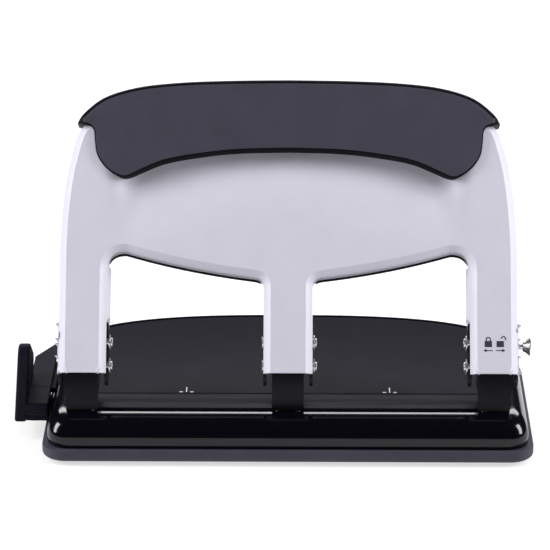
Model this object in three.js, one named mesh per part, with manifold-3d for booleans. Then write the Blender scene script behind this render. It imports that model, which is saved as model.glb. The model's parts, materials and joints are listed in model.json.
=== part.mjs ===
// Three hole paper punch: a chip pan, a base housing with a paper deck, three punch heads,
// one wide squeeze handle that works all three, a handle lock and a sliding paper guide.
// Millimetres. X runs to the right, Y from the front to the back, Z up.
import * as THREE from 'three';
import { mergeVertices } from 'three/addons/utils/BufferGeometryUtils.js';
import Module from 'manifold-3d';

const wasm = await Module();
wasm.setup();

// Driving dimensions
const HOLE_SPACING = 107.95;
const GAP = 0.3;
const STATIONS = { left: -HOLE_SPACING, middle: 0, right: HOLE_SPACING };

const BASE_HALF_WIDTH = 128.7;
const BASE_DEPTH = 152;
const BASE_CORNER = 11;
const REAR_START = 100;
const REAR_POWER = 2.6;
const FOOT_HEIGHT = 1.6;
const PAN_TOP = 8.6;
const HOUSING_BOTTOM = 9.1;
const SHOULDER_START = 14;
const HOUSING_TOP = 24;
const ROOF_TOP = 20.6;
const ROOF_BOTTOM = 18.6;
const WALL = 2.2;
const HOUSING_INSET = { front: 2.6, side: 2.6, back: 3 };
const TOP_INSET = { front: 16.4, side: 11, back: 5 };
const RECESS_INSET = { front: 20.6, side: 13.2, back: 7.2 };

const DIE_PLATE = { y0: 21, y1: 39.1, z0: 20.9, z1: 23.9 };
const DECK = { z0: 20.9, z1: 24.1 };
const BUSH_RADIUS = 5;
const SCREW_X = 5;
const SCREW_Y = 19.3;
const SCREW_HOLE = 1.9;
const SCREW_PILOT = 1.8;
const SCREW_BOSS = 4;
const FEET = { front_left: [-106, 18], front_right: [106, 18], rear_left: [-96, 118], rear_right: [96, 118] };

const PUNCH_Y = 34;
const PUNCH_RADIUS = 3.5;
const THROAT_TOP = 30.5;
const HEAD_FRONT = 17;
const PAPER_STOP = 22;
const HEAD_BACK = 39.4;
const HEAD_HALF_WIDTH = 8.3;
const HEAD_WALL = 1.8;
const GUIDE_PLATE_TOP = 38;
const HEAD_TOP = 44.8;
const COLLAR_TOP = 54.2;
const CLIP_TOP = 52;
const CLIP_THICKNESS = 0.9;

const LEG_BOTTOM = { y: 15, z: 46.8 };
const HANDLE_LEAN = THREE.MathUtils.degToRad(31.5);
const PRESS_ANGLE = THREE.MathUtils.degToRad(50);
const LEG_HALF_WIDTH = 12.6;
// The outer levers stand a little inside their stations, so their pins stay within the handle's edges.
const LEVER_SHIFT = 1;
const LEVER_X = { left: STATIONS.left + LEVER_SHIFT, middle: 0, right: STATIONS.right - LEVER_SHIFT };
const TONGUE_HALF = 9.2;
const PIN_DEPTH = 8;
const PIVOT_ALONG = 4.5;
const DRIVE_ALONG = 16.9;
const PIN_RADIUS = 2.5;
const LOCK_OFFSET = { y: 11.6, z: 6.7 };
const LOCK_RADIUS = 1.5;
const LOCK_TIP = 9.1;
const CLIP_X = 13.3;
const CLIP_BORE = PIN_RADIUS - 0.6;

const SHELL_DEPTH = 12;
const LEG_DEPTH = 5.2;
const SHELL_WALL = 2.2;
const HANDLE_HALF_WIDTH = HOLE_SPACING + LEG_HALF_WIDTH - 0.5;
const LEVER_TOP = 27;
const TONGUE_TOP = 58;
const PLATE_INNER = 11.2;
const PLATE_OUTER = 12.9;
const PLATE_FAR = 17;
const LEVER_SCREW_UP = 46;

const GRIP_FRONT = -1.6;
const GRIP_BACK = 15.4;
const GRIP_SCREWS = [-62, 0, 62];
const GRIP_SCREW_UP = 136;
const GRIP_UPPER = [
  [111.6, 132.6], [108, 138.4], [97, 146.9], [79.5, 152.3], [57, 154.9], [30, 156], [0, 156.4],
];
const GRIP_LOWER = [
  [0, 118.7], [27, 117.9], [47, 115.7], [65, 112.3], [77.5, 107.2], [85.4, 103.6], [91, 104.9],
  [97, 109.4], [101, 115.8], [102.2, 123], [102.8, 128.6], [105.4, 131.4], [111.6, 132.6],
];
// The handle's right half from the centre outwards: across, up, and how much of an offset each takes.
const HANDLE_TOP = [
  [0, 152.6, 0, 1], [30, 152, 0, 1], [57, 150.6, 0, 1], [78, 147.6, 0, 1], [93, 142.4, 0, 1],
  [104.5, 134.6, 1, 1], [110.6, 128.4, 1, 1], [115.6, 111, 1, 0.3], [118.6, 91, 1, 0],
  [HANDLE_HALF_WIDTH, 72, 1, 0],
];
const WINDOW = { inner: 12.8, outer: 95.1, innerTop: 50.8, outerTop: 64.4, bottom: -4 };

const GUIDE_FACE = -139;
const GUIDE_OUTER = -145.4;
const GUIDE_INNER = -127.4;
const GUIDE_ARM = { y0: 62, y1: 98, z0: 13.8, z1: 16.6 };
const GUIDE_FIN = { y0: 34, y1: 73, z0: 9, z1: 52, rearTop: 33.5, round: 8, lean: 0.075 };
const GUIDE_SHELF = { y0: 34, y1: 58, z0: 13.2, z1: 20 };

// The pins are set out along the leg, so the pivot and the lock follow from the lean.
const alongLean = (y, z) => y * Math.sin(HANDLE_LEAN) + z * Math.cos(HANDLE_LEAN);
const throughLean = (y, z) => y * Math.cos(HANDLE_LEAN) - z * Math.sin(HANDLE_LEAN);
const PIVOT = {
  y: LEG_BOTTOM.y + alongLean(PIVOT_ALONG, PIN_DEPTH),
  z: LEG_BOTTOM.z + PIVOT_ALONG * Math.cos(HANDLE_LEAN) - PIN_DEPTH * Math.sin(HANDLE_LEAN),
};
const LOCK_ALONG = PIVOT_ALONG + alongLean(LOCK_OFFSET.y, LOCK_OFFSET.z);
const LOCK_DEPTH = PIN_DEPTH + throughLean(LOCK_OFFSET.y, LOCK_OFFSET.z);
// Where the lock pin stands when the handle is pressed right down.
const LOCK_HOLE = {
  y: PIVOT.y + LOCK_OFFSET.y * Math.cos(PRESS_ANGLE) + LOCK_OFFSET.z * Math.sin(PRESS_ANGLE),
  z: PIVOT.z - LOCK_OFFSET.y * Math.sin(PRESS_ANGLE) + LOCK_OFFSET.z * Math.cos(PRESS_ANGLE),
};

const material = (color, roughness, metalness) =>
  new THREE.MeshStandardMaterial({ color, roughness, metalness });
const MATERIALS = {
  glossBlack: material(0x0b0a10, 0.12, 0),
  matteGrey: material(0x46444e, 0.55, 0),
  satinBlack: material(0x33313b, 0.4, 0),
  blackSteel: material(0x1b1a20, 0.35, 0.6),
  rubber: material(0x17171a, 0.9, 0),
  silverPaint: material(0xc8c6d0, 0.35, 0.4),
  grip: material(0x44414e, 0.55, 0),
  steel: material(0xd6d6da, 0.2, 1),
  toolSteel: material(0x9a9aa0, 0.25, 1),
};

// Solids
function solid(geometry) {
  const plain = geometry.clone();
  plain.deleteAttribute('normal');
  plain.deleteAttribute('uv');
  const merged = mergeVertices(plain, 1e-4);
  const mesh = new wasm.Mesh({
    numProp: 3,
    vertProperties: new Float32Array(merged.attributes.position.array),
    triVerts: new Uint32Array(merged.index.array),
  });
  return new wasm.Manifold(mesh);
}

function geometryOf(body) {
  const mesh = body.getMesh();
  const geometry = new THREE.BufferGeometry();
  geometry.setAttribute('position', new THREE.BufferAttribute(mesh.vertProperties, 3));
  geometry.setIndex(new THREE.BufferAttribute(mesh.triVerts, 1));
  geometry.computeVertexNormals();
  return geometry;
}

const join = (...geometries) => geometryOf(geometries.map(solid).reduce((a, b) => a.add(b)));
const cut = (geometry, ...tools) =>
  geometryOf(tools.map(solid).reduce((a, b) => a.subtract(b), solid(geometry)));

const box = (x0, x1, y0, y1, z0, z1) =>
  new THREE.BoxGeometry(x1 - x0, y1 - y0, z1 - z0).translate((x0 + x1) / 2, (y0 + y1) / 2, (z0 + z1) / 2);

const polygon = (points) => new THREE.Shape(points.map(([x, y]) => new THREE.Vector2(x, y)));

const extrude = (shape, from, to, curveSegments = 8) =>
  new THREE.ExtrudeGeometry(shape, { depth: to - from, bevelEnabled: false, curveSegments })
    .translate(0, 0, from);

// A side outline, given as (y, z), extruded along X.
const alongX = (shape, x0, x1, curveSegments = 8) =>
  extrude(shape, x0, x1, curveSegments).applyMatrix4(
    new THREE.Matrix4().makeBasis(
      new THREE.Vector3(0, 1, 0), new THREE.Vector3(0, 0, 1), new THREE.Vector3(1, 0, 0)));

const cylinderZ = (radius, x, y, z0, z1, segments = 14) =>
  new THREE.CylinderGeometry(radius, radius, z1 - z0, segments)
    .rotateX(Math.PI / 2).translate(x, y, (z0 + z1) / 2);

const cylinderX = (radius, x0, x1, y, z, segments = 12) =>
  new THREE.CylinderGeometry(radius, radius, x1 - x0, segments)
    .rotateZ(-Math.PI / 2).translate((x0 + x1) / 2, y, z);

// A turned piece about Z, from (radius, z) points that start and end on the axis.
const turned = (profile, segments = 14) =>
  new THREE.LatheGeometry(profile.map(([r, z]) => new THREE.Vector2(r, z)), segments).rotateX(Math.PI / 2);

// The base outline seen from above, inset by its own distance at the front, sides and back.
function planOutline({ front, side, back }, corner = BASE_CORNER) {
  const half = BASE_HALF_WIDTH - side;
  const reach = BASE_DEPTH - REAR_START - back;
  const points = [];
  const cornerSteps = 4;
  const rearSteps = 18;
  for (let i = 0; i <= cornerSteps; i += 1) {
    const angle = Math.PI + (i / cornerSteps) * Math.PI / 2;
    points.push([-half + corner + corner * Math.cos(angle), front + corner + corner * Math.sin(angle)]);
  }
  for (let i = 0; i <= cornerSteps; i += 1) {
    const angle = -Math.PI / 2 + (i / cornerSteps) * Math.PI / 2;
    points.push([half - corner + corner * Math.cos(angle), front + corner + corner * Math.sin(angle)]);
  }
  for (let i = 0; i <= rearSteps; i += 1) {
    const angle = (i / rearSteps) * Math.PI;
    const across = Math.cos(angle);
    const along = Math.sin(angle);
    points.push([
      Math.sign(across) * half * Math.abs(across) ** (2 / REAR_POWER),
      REAR_START + reach * Math.abs(along) ** (2 / REAR_POWER),
    ]);
  }
  return points;
}

// A closed body through rings of the base outline, given as [z, inset, corner] from the bottom up.
function loft(levels) {
  const rings = levels.map(([z, inset, corner]) => planOutline(inset, corner).map(([x, y]) => [x, y, z]));
  const count = rings[0].length;
  const positions = rings.flat(2);
  const index = [];
  for (let level = 0; level < rings.length - 1; level += 1) {
    for (let i = 0; i < count; i += 1) {
      const next = (i + 1) % count;
      const a = level * count + i;
      const b = level * count + next;
      index.push(a, b, b + count, a, b + count, a + count);
    }
  }
  const cap = THREE.ShapeUtils.triangulateShape(rings[0].map(([x, y]) => new THREE.Vector2(x, y)), []);
  const top = (rings.length - 1) * count;
  cap.forEach(([a, b, c]) => index.push(a, c, b, top + a, top + b, top + c));
  const geometry = new THREE.BufferGeometry();
  geometry.setAttribute('position', new THREE.Float32BufferAttribute(positions, 3));
  geometry.setIndex(index);
  return geometry;
}

const grow = (inset, amount) =>
  ({ front: inset.front + amount, side: inset.side + amount, back: inset.back + amount });

// The housing's inset at a height: upright to the shoulder, then a quarter ellipse to the top.
function insetAt(z) {
  const rise = THREE.MathUtils.clamp((z - SHOULDER_START) / (HOUSING_TOP - SHOULDER_START), 0, 1);
  const run = 1 - Math.sqrt(1 - rise * rise);
  const blend = (key) => HOUSING_INSET[key] + (TOP_INSET[key] - HOUSING_INSET[key]) * run;
  return { front: blend('front'), side: blend('side'), back: blend('back') };
}

// Scene
const assembly = new THREE.Group();
const handleFrame = new THREE.Group();
handleFrame.position.set(0, LEG_BOTTOM.y, LEG_BOTTOM.z);
handleFrame.rotation.x = Math.PI / 2 - HANDLE_LEAN;
assembly.add(handleFrame);

function add(parent, name, geometry, finish) {
  const mesh = new THREE.Mesh(geometry, MATERIALS[finish]);
  mesh.name = name;
  parent.add(mesh);
  return mesh;
}

// Base
function chipPan() {
  const edge = 0.8;
  const outer = loft([
    [FOOT_HEIGHT, grow({ front: 0, side: 0, back: 0 }, 2.6)],
    [FOOT_HEIGHT + 1, grow({ front: 0, side: 0, back: 0 }, edge)],
    [FOOT_HEIGHT + 2.4, { front: 0, side: 0, back: 0 }],
    [PAN_TOP, { front: 0, side: 0, back: 0 }],
  ]);
  const inside = grow({ front: 0, side: 0, back: 0 }, WALL + edge);
  return cut(outer, loft([[FOOT_HEIGHT + 2, inside], [PAN_TOP + 1, inside]]));
}

function baseHousing() {
  const shoulderHeights = [SHOULDER_START, 18, 21, 23, HOUSING_TOP];
  const outer = loft([HOUSING_BOTTOM, ...shoulderHeights].map((z) => [z, insetAt(z)]));
  const hollowHeights = [HOUSING_BOTTOM - 1, SHOULDER_START - 1, 16, ROOF_BOTTOM];
  const hollow = loft(hollowHeights.map((z) => [z, grow(insetAt(z + WALL), WALL)]));
  const recess = loft([[ROOF_TOP, RECESS_INSET, 0.6], [HOUSING_TOP + 1, RECESS_INSET, 0.6]]);
  const armSlot = box(-BASE_HALF_WIDTH - 2, -110, GUIDE_ARM.y0 - 0.6, GUIDE_ARM.y1 + 0.6,
    GUIDE_ARM.z0 - 0.5, GUIDE_ARM.z1 + 0.5);
  const holes = Object.values(STATIONS).flatMap((x) => [
    cylinderZ(BUSH_RADIUS + 0.5, x, PUNCH_Y, ROOF_BOTTOM - 1, ROOF_TOP + 1),
    ...[-SCREW_X, SCREW_X].map((offset) =>
      cylinderZ(SCREW_HOLE, x + offset, SCREW_Y, ROOF_BOTTOM - 1, HOUSING_TOP + 1, 8)),
  ]);
  return cut(outer, hollow, recess, armSlot, ...holes);
}

function diePlate() {
  const half = BASE_HALF_WIDTH - RECESS_INSET.side - 0.4;
  const plate = box(-half, half, DIE_PLATE.y0, DIE_PLATE.y1, DIE_PLATE.z0, DIE_PLATE.z1);
  const holes = Object.values(STATIONS).map((x) =>
    cylinderZ(BUSH_RADIUS + GAP, x, PUNCH_Y, DIE_PLATE.z0 - 1, DIE_PLATE.z1 + 1));
  return cut(plate, ...holes);
}

function paperDeck() {
  const inset = { front: DIE_PLATE.y1 + GAP, side: RECESS_INSET.side + 0.4, back: RECESS_INSET.back + 0.4 };
  return loft([[DECK.z0, inset, 1], [DECK.z1, inset, 1]]);
}

function foot() {
  return turned([[0, 0], [6, 0], [7, 0.6], [7, FOOT_HEIGHT - GAP], [0, FOOT_HEIGHT - GAP]], 16);
}

function dieBush() {
  const bore = PUNCH_RADIUS + 0.15;
  return turned([
    [bore, 19], [BUSH_RADIUS, 19], [BUSH_RADIUS, DIE_PLATE.z1], [bore, DIE_PLATE.z1], [bore, 19],
  ]);
}

// Punch heads
function headBracket(isLocking) {
  const side = new THREE.Shape();
  side.moveTo(HEAD_FRONT, HOUSING_TOP + GAP);
  side.lineTo(PAPER_STOP, HOUSING_TOP + GAP);
  side.lineTo(PAPER_STOP, THROAT_TOP);
  side.lineTo(HEAD_BACK, THROAT_TOP);
  side.lineTo(HEAD_BACK, HEAD_TOP);
  side.lineTo(30.5, HEAD_TOP);
  side.lineTo(PIVOT.y + 4.6, PIVOT.z + 2);
  side.absarc(PIVOT.y, PIVOT.z, 5, 0.4, Math.PI * 0.83, false);
  side.lineTo(HEAD_FRONT, HEAD_TOP - 0.6);
  const block = alongX(side, -HEAD_HALF_WIDTH, HEAD_HALF_WIDTH, 6);
  const inner = HEAD_HALF_WIDTH - HEAD_WALL;
  const tools = [
    box(-inner, inner, HEAD_FRONT + HEAD_WALL, HEAD_BACK + 1, GUIDE_PLATE_TOP, 60),
    box(-inner, inner, HEAD_FRONT + HEAD_WALL + 8, HEAD_BACK + 1, THROAT_TOP + 2.5, GUIDE_PLATE_TOP - 2),
    cylinderZ(PUNCH_RADIUS + GAP, 0, PUNCH_Y, THROAT_TOP - 1, GUIDE_PLATE_TOP + 1),
    cylinderX(PIN_RADIUS + GAP, -10, 10, PIVOT.y, PIVOT.z),
    ...[-SCREW_X, SCREW_X].map((x) => cylinderZ(SCREW_PILOT, x, SCREW_Y, HOUSING_TOP - 1, THROAT_TOP, 8)),
  ];
  if (isLocking) tools.push(cylinderX(LOCK_RADIUS + 0.35, 5, 10, LOCK_HOLE.y, LOCK_HOLE.z));
  return cut(block, ...tools);
}

function punchPin() {
  const tip = THROAT_TOP - 0.1;
  const neck = PUNCH_RADIUS - 0.6;
  return turned([
    [0, tip + 1.2], [PUNCH_RADIUS, tip], [PUNCH_RADIUS, CLIP_TOP - CLIP_THICKNESS - GAP],
    [neck, CLIP_TOP - CLIP_THICKNESS - GAP], [neck, CLIP_TOP + GAP], [PUNCH_RADIUS, CLIP_TOP + GAP],
    [PUNCH_RADIUS, COLLAR_TOP - 0.6], [PUNCH_RADIUS - 0.6, COLLAR_TOP], [0, COLLAR_TOP],
  ], 12);
}

// A retaining clip: a flat ring with a mouth on one side, standing on the XY plane.
function retainingClip(inner, outer, thickness) {
  const mouth = 0.45;
  const shape = new THREE.Shape();
  shape.absarc(0, 0, outer, mouth, Math.PI * 2 - mouth, false);
  shape.absarc(0, 0, inner, Math.PI * 2 - mouth, mouth, true);
  return extrude(shape, 0, thickness, 8);
}

class Helix extends THREE.Curve {
  constructor(radius, bottom, top, turns) {
    super();
    Object.assign(this, { radius, bottom, top, turns });
  }

  getPoint(t, target = new THREE.Vector3()) {
    const angle = t * this.turns * Math.PI * 2;
    const height = THREE.MathUtils.lerp(this.bottom, this.top, t);
    return target.set(this.radius * Math.cos(angle), this.radius * Math.sin(angle), height);
  }
}

function returnSpring() {
  const wire = 0.45;
  const turns = 4;
  const coil = new Helix(4.7, GUIDE_PLATE_TOP + wire + GAP, CLIP_TOP - CLIP_THICKNESS - wire - GAP, turns);
  const section = new THREE.Shape();
  section.absarc(0, 0, wire, 0, Math.PI * 2, false);
  return new THREE.ExtrudeGeometry(section, {
    steps: turns * 9, extrudePath: coil, curveSegments: 3, bevelEnabled: false,
  });
}

// Handle pieces. In the handle's frame x is across, y runs up the leg
// and -z is the depth behind the front face.
const slab = (shape, near, far) => extrude(shape, -far, -near);
const handleBox = (x0, x1, up0, up1, near, far) => box(x0, x1, up0, up1, -far, -near);
const sideSlab = (shape, x0, x1) => extrude(shape, x0, x1).rotateY(Math.PI / 2);
const handlePin = (radius, x0, x1, up, depth) => cylinderX(radius, x0, x1, up, -depth);
const handleScrew = (radius, x, up, near, far) => cylinderZ(radius, x, up, -far, -near, 8);

function lever(isLocking) {
  const plate = new THREE.Shape();
  plate.moveTo(LEG_DEPTH + 0.4, LEVER_TOP);
  plate.lineTo(LEG_DEPTH + 0.4, -0.8);
  plate.lineTo(2, -0.8);
  plate.lineTo(2.6, -3.4);
  plate.quadraticCurveTo(6, -6.2, 10, -5.6);
  plate.quadraticCurveTo(15, -4.4, PLATE_FAR, 3);
  plate.lineTo(PLATE_FAR, LEVER_TOP);
  const tools = [
    handleScrew(SCREW_HOLE, 0, LEVER_SCREW_UP, 2, 6),
    handlePin(PIN_RADIUS + GAP, -20, 20, PIVOT_ALONG, PIN_DEPTH),
    handlePin(PIN_RADIUS + GAP, -20, 20, DRIVE_ALONG, PIN_DEPTH),
  ];
  if (isLocking) tools.push(handlePin(LOCK_RADIUS + GAP, 0, 20, LOCK_ALONG, LOCK_DEPTH));
  return cut(
    join(
      sideSlab(plate, PLATE_INNER, PLATE_OUTER),
      sideSlab(plate, -PLATE_OUTER, -PLATE_INNER),
      handleBox(-PLATE_OUTER + 0.1, PLATE_OUTER - 0.1, 20, LEVER_TOP - 0.1, PLATE_FAR - 1.8, PLATE_FAR - 0.1),
      handleBox(-TONGUE_HALF, TONGUE_HALF, LEVER_TOP - 2.2, LEVER_TOP - 0.2, 2.6, PLATE_FAR - 0.3),
      handleBox(-TONGUE_HALF, TONGUE_HALF, LEVER_TOP - 2.2, TONGUE_TOP, 2.6, 4.6),
    ),
    ...tools,
  );
}

// A pin across the leg with a flat head at one end and a clip groove at the other. side is the clip's side.
function headedPin(side) {
  const headEdge = PLATE_OUTER + GAP;
  const pin = turned([
    [0, -headEdge - 0.5], [PIN_RADIUS + 0.9, -headEdge - 0.5], [PIN_RADIUS + 0.9, -headEdge],
    [PIN_RADIUS, -headEdge], [PIN_RADIUS, CLIP_X - 0.1], [CLIP_BORE, CLIP_X - 0.1],
    [CLIP_BORE, CLIP_X + 0.9], [PIN_RADIUS, CLIP_X + 0.9], [PIN_RADIUS - 0.4, CLIP_X + 1.8],
    [0, CLIP_X + 1.8],
  ]);
  return pin.rotateY(side * Math.PI / 2);
}

const curveThrough = (points) => new THREE.SplineCurve(points.map(([x, y]) => new THREE.Vector2(x, y)));

// The whole handle's outline, moved inwards by an offset.
function handleOutline(offset) {
  const top = curveThrough(
    HANDLE_TOP.map(([x, y, acrossShare, upShare]) => [x - offset * acrossShare, y - offset * upShare]));
  const foot = [HANDLE_HALF_WIDTH - offset, offset > 0 ? -1 : 0];
  const right = [foot, ...top.getPoints(16).reverse().map((p) => [p.x, p.y])];
  const left = right.slice(0, -1).reverse().map(([x, y]) => [-x, y]);
  return polygon([...right, ...left]);
}

// One window between two legs, on the right side (+1) or the left (-1), grown by an amount all round.
function windowShape(side, growth) {
  const inner = (WINDOW.inner - growth) * side;
  const outer = (WINDOW.outer + growth) * side;
  const low = WINDOW.innerTop + growth;
  const high = WINDOW.outerTop + growth;
  const cornerIn = 5 * side;
  const cornerOut = 10 * side;
  const shape = new THREE.Shape();
  shape.moveTo(inner, WINDOW.bottom - growth);
  shape.lineTo(inner, low - 4.4);
  shape.quadraticCurveTo(inner, low - 0.6, inner + cornerIn, low);
  shape.quadraticCurveTo(inner + (outer - inner) * 0.5, low + 4.5, outer - cornerOut, high);
  shape.quadraticCurveTo(outer, high + 0.4, outer, high - 10);
  shape.lineTo(outer, WINDOW.bottom - growth);
  return shape;
}

function handleShell() {
  const body = slab(handleOutline(0), 0, SHELL_DEPTH);
  const pocketTools = [1, -1].map((side) => slab(windowShape(side, 2), SHELL_WALL - 1, SHELL_DEPTH + 2));
  const pocket = cut(slab(handleOutline(2), SHELL_WALL, SHELL_DEPTH + 1), ...pocketTools);
  const windows = [1, -1].map((side) => slab(windowShape(side, 0), -1, SHELL_DEPTH + 1));
  const legRelief = handleBox(-130, 130, -2, LEVER_TOP + 0.4, LEG_DEPTH, SHELL_DEPTH + 1);
  const screwHoles = Object.values(LEVER_X).map((x) => handleScrew(SCREW_HOLE, x, LEVER_SCREW_UP, 1, 4));
  const open = cut(body, pocket, ...windows, legRelief, ...screwHoles);
  const bosses = GRIP_SCREWS.map((x) =>
    cut(handleScrew(SCREW_BOSS, x, GRIP_SCREW_UP, SHELL_WALL - 0.4, SHELL_DEPTH),
      handleScrew(SCREW_PILOT, x, GRIP_SCREW_UP, SHELL_WALL + 1, SHELL_DEPTH + 1)));
  return join(open, ...bosses);
}

// The grip's outline: a crowned top edge, and a lower edge that dips at the two ends.
function gripOutline() {
  const upper = curveThrough(GRIP_UPPER).getPoints(12);
  const lower = curveThrough(GRIP_LOWER).getPoints(24);
  const right = [...lower, ...upper.slice(1)].map((p) => [p.x, p.y]);
  const left = right.slice(1, -1).reverse().map(([x, y]) => [-x, y]);
  return polygon([...right, ...left]);
}

function handleGrip() {
  const body = slab(gripOutline(), GRIP_FRONT, GRIP_BACK);
  const seat = slab(handleOutline(-GAP), -GAP, SHELL_DEPTH + GAP);
  const holes = GRIP_SCREWS.map((x) => handleScrew(SCREW_HOLE, x, GRIP_SCREW_UP, SHELL_DEPTH, GRIP_BACK + 1));
  return cut(body, seat, ...holes);
}

// A screw standing on +Z: shank from the bottom, then a domed head.
function screw(radius, length, headRadius, headHeight) {
  return turned([
    [0, 0], [radius, 0], [radius, length],
    [headRadius, length], [headRadius, length + headHeight * 0.5],
    [headRadius * 0.7, length + headHeight], [0, length + headHeight],
  ], 8);
}

// The lock pin, along X from its tip at the origin: a shank and a flared knob.
function lockPin() {
  return turned([
    [0, 0], [1, 0], [LOCK_RADIUS, 0.5], [LOCK_RADIUS, 6.3], [2.6, 6.3], [2.8, 7.2],
    [4.9, 9.6], [5, 10.1], [4.4, 10.4], [0, 10.4],
  ], 16).rotateY(Math.PI / 2);
}

// Paper guide: an upright fin, a shelf, a leaf that carries on the deck, and an arm into the housing.
function paperGuide() {
  const { y0, y1, z0, z1, rearTop, round, lean } = GUIDE_FIN;
  const leaning = new THREE.Matrix4().set(1, 0, lean, -lean * z0, 0, 1, 0, 0, 0, 0, 1, 0, 0, 0, 0, 1);
  const fin = new THREE.Shape();
  fin.moveTo(y0, z0);
  fin.lineTo(y1 - round + 1, z0);
  fin.quadraticCurveTo(y1, z0, y1, z0 + round);
  fin.lineTo(y1, rearTop - round - 1.5);
  fin.quadraticCurveTo(y1, rearTop, y1 - round + 1, rearTop + 3.5);
  fin.lineTo(y0 + round + 2, z1 - 1.6);
  fin.quadraticCurveTo(y0 + round - 0.5, z1, y0 + round - 3, z1);
  fin.quadraticCurveTo(y0, z1, y0, z1 - round + 2);
  const leaf = polygon([
    [GUIDE_FACE - 2, GUIDE_SHELF.y1 - 3], [GUIDE_INNER, GUIDE_SHELF.y1 - 3], [GUIDE_INNER, 118],
    [GUIDE_FACE, 97], [GUIDE_FACE - 2, 92],
  ]);
  return join(
    alongX(fin, GUIDE_OUTER, GUIDE_FACE, 6).applyMatrix4(leaning),
    box(GUIDE_FACE - 1, GUIDE_INNER, GUIDE_SHELF.y0, GUIDE_SHELF.y1, GUIDE_SHELF.z0, GUIDE_SHELF.z1),
    extrude(leaf, GUIDE_SHELF.z1 - 2.6, GUIDE_SHELF.z1),
    box(GUIDE_INNER - 0.6, -88, GUIDE_ARM.y0, GUIDE_ARM.y1, GUIDE_ARM.z0, GUIDE_ARM.z1),
    box(-132, GUIDE_INNER - 0.2, GUIDE_ARM.y0, GUIDE_ARM.y1, GUIDE_ARM.z0, GUIDE_SHELF.z1 - 2),
  );
}

// Assembly
add(assembly, 'chip_pan', chipPan(), 'matteGrey');
Object.entries(FEET).forEach(([name, [x, y]]) => {
  add(assembly, `foot_${name}`, foot(), 'rubber').position.set(x, y, 0);
});
add(assembly, 'base_housing', baseHousing(), 'glossBlack');
add(assembly, 'die_plate', diePlate(), 'blackSteel');
add(assembly, 'paper_deck', paperDeck(), 'satinBlack');
add(assembly, 'paper_guide', paperGuide(), 'satinBlack');

Object.entries(STATIONS).forEach(([name, x]) => {
  const isLocking = name === 'right';
  const clipSide = name === 'right' ? -1 : 1;
  const station = new THREE.Group();
  station.position.x = x;
  assembly.add(station);
  add(station, `die_bush_${name}`, dieBush(), 'toolSteel').position.y = PUNCH_Y;
  add(station, `head_bracket_${name}`, headBracket(isLocking), 'glossBlack');
  add(station, `punch_pin_${name}`, punchPin(), 'toolSteel').position.y = PUNCH_Y;
  add(station, `return_spring_${name}`, returnSpring(), 'steel').position.y = PUNCH_Y;
  add(station, `spring_clip_${name}`, retainingClip(PUNCH_RADIUS - 0.3, 5.6, CLIP_THICKNESS), 'steel')
    .position.set(0, PUNCH_Y, CLIP_TOP - CLIP_THICKNESS);
  [-SCREW_X, SCREW_X].forEach((offset, i) => {
    const headScrew = add(station, `head_screw_${name}_${i + 1}`, screw(1.5, 10, 3, 1.8), 'steel');
    headScrew.rotation.x = Math.PI;
    headScrew.position.set(offset, SCREW_Y, ROOF_BOTTOM + 10 - GAP);
  });

  const leg = new THREE.Group();
  leg.position.x = LEVER_X[name];
  handleFrame.add(leg);
  add(leg, `lever_${name}`, lever(isLocking), 'blackSteel');
  [['pivot', PIVOT_ALONG], ['drive', DRIVE_ALONG]].forEach(([use, up]) => {
    add(leg, `${use}_pin_${name}`, headedPin(clipSide), 'steel').position.set(0, up, -PIN_DEPTH);
    const clip = add(leg, `${use}_clip_${name}`, retainingClip(CLIP_BORE + GAP, 4.1, 0.7), 'steel');
    clip.rotation.y = clipSide * Math.PI / 2;
    clip.position.set(clipSide * CLIP_X, up, -PIN_DEPTH);
  });
  const leverScrew = add(leg, `lever_screw_${name}`, screw(1.5, 3.6, 3, 1.4), 'steel');
  leverScrew.rotation.x = Math.PI;
  leverScrew.position.set(0, LEVER_SCREW_UP, -1.3);
});

add(handleFrame, 'handle_shell', handleShell(), 'silverPaint');
add(handleFrame, 'handle_grip', handleGrip(), 'grip');
GRIP_SCREWS.forEach((x, i) => {
  const gripScrew = add(handleFrame, `grip_screw_${i + 1}`, screw(1.5, 11, 3.2, 1.4), 'steel');
  gripScrew.rotation.x = Math.PI;
  gripScrew.position.set(x, GRIP_SCREW_UP, -(GRIP_BACK + GAP - 11));
});
const lock = add(handleFrame, 'lock_pin', lockPin(), 'steel');
lock.position.set(HOLE_SPACING + LOCK_TIP, LOCK_ALONG, -LOCK_DEPTH);

// The origin is the middle of the whole punch's footprint, on the surface it stands on.
const part = new THREE.Group();
assembly.position.set(-(GUIDE_OUTER + BASE_HALF_WIDTH) / 2, -BASE_DEPTH / 2, 0);
part.add(assembly);

export default part;
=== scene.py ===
"""A three hole paper punch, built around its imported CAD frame.

Sizes are millimetres until place() and handle_place() turn them into the frame's metres.
"""

import json
import math

import bmesh
import bpy
import numpy as np
from mathutils import Matrix, Vector
from mathutils.geometry import delaunay_2d_cdt


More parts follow.
